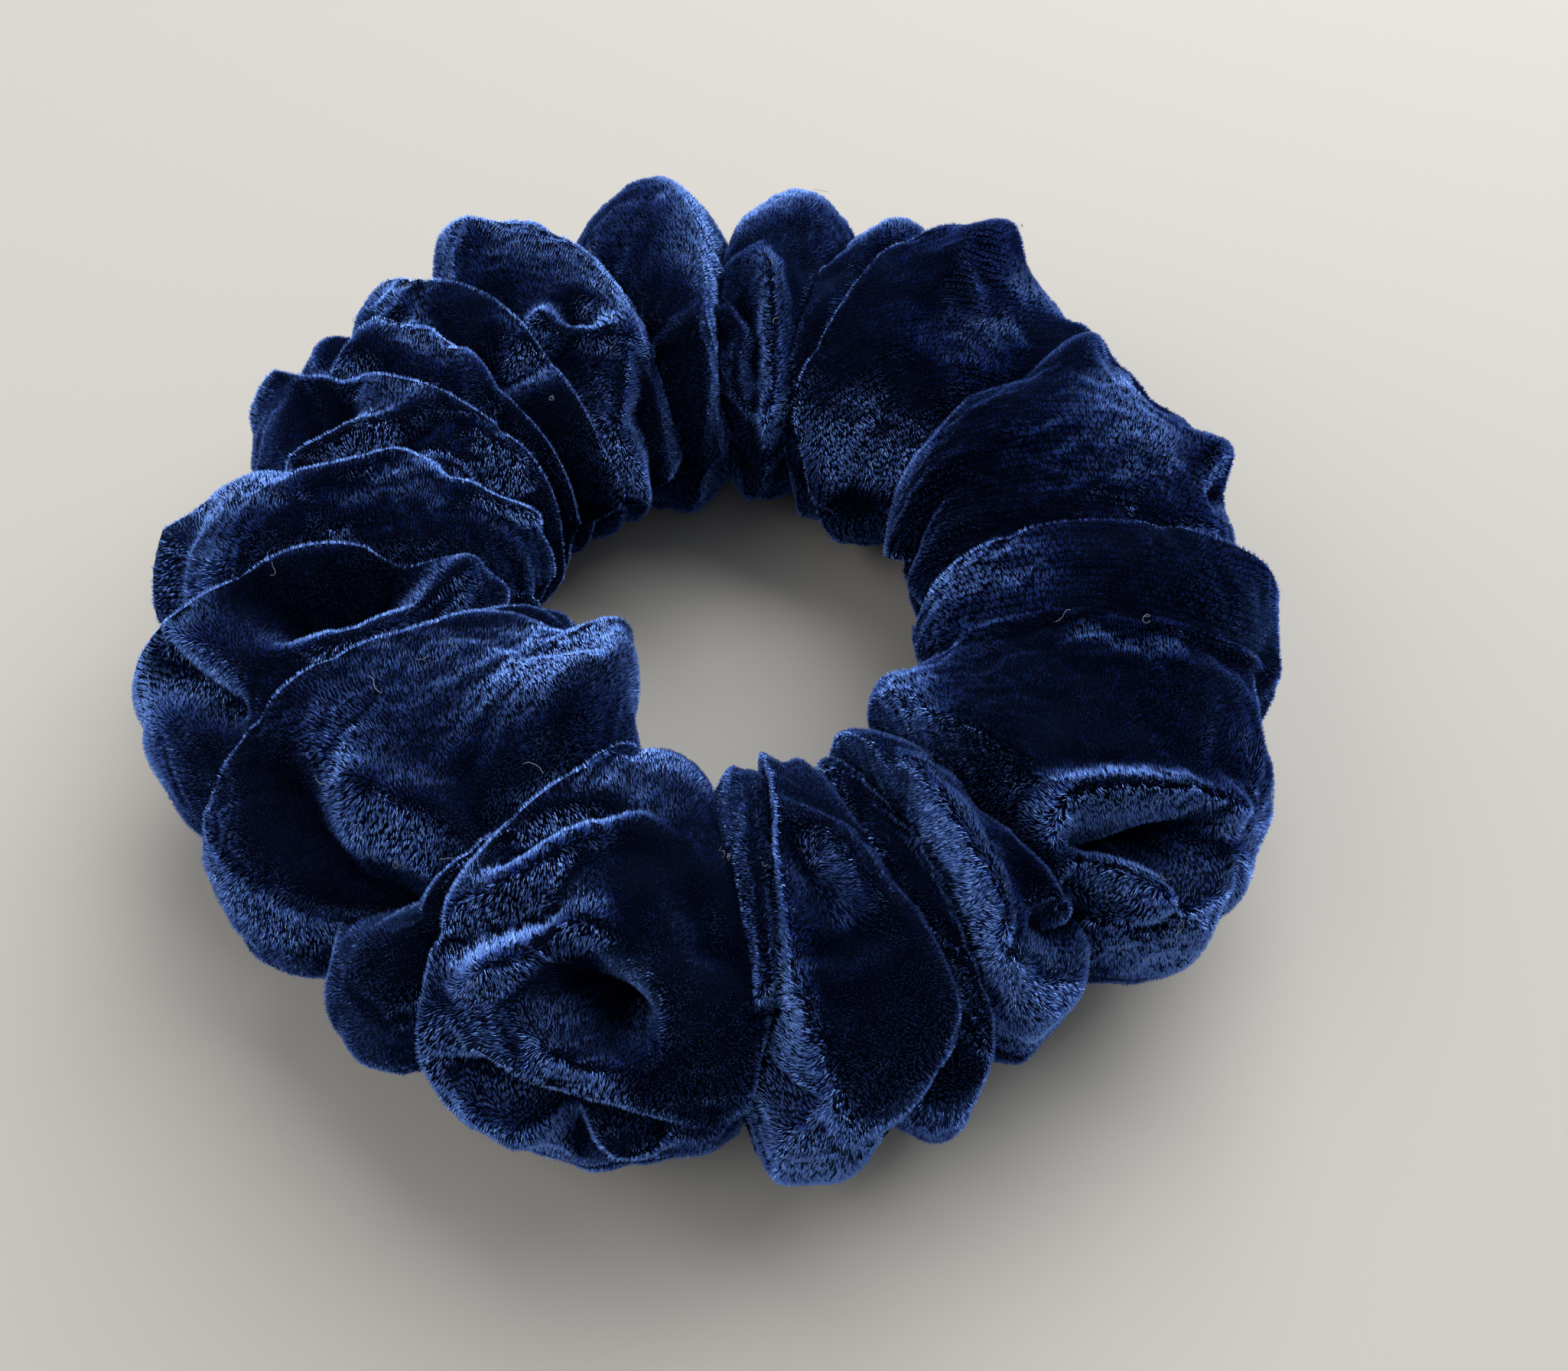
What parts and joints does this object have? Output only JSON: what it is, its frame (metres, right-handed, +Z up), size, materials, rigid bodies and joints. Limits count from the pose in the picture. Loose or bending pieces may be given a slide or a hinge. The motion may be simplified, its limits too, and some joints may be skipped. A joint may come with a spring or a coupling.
{
  "type": "hair scrunchie",
  "caption": "Gathered hair scrunchie: a velvet tube sewn from one strip, bunched in deep folds round a loose ring of flat elastic, with an open hole.",
  "frame": {"origin": "centre of the ring's bounding box, on the surface that the scrunchie lies on", "axes": "+Z up through the hole; the ring lies in X and Y, with the closing seam near +X"},
  "size_m": [0.1126, 0.112, 0.0303],
  "materials": {
    "velvet": "stretch velvet with a short pile that shines royal blue where it leans and near black where it faces the eye",
    "navy_thread": "spun sewing thread",
    "braid": "flat braided yarn, slightly ribbed",
    "rubber": "matte natural rubber",
    "white_thread": "spun sewing thread"
  },
  "bodies": {
    "cover": {"velvet_cover": "velvet", "side_seam_thread": "navy_thread", "closing_seam_thread": "navy_thread"},
    "elastic": {"elastic_braid": "braid", "elastic_rubber_core": "rubber", "elastic_join_thread": "white_thread"}
  },
  "joints": [
    {"name": "elastic_turn", "type": "hinge", "parent": "cover", "child": "elastic", "pos_m": [0.00048, -0.00047, 0.014], "axis": [0, 0, 1], "continuous": true}
  ]
}
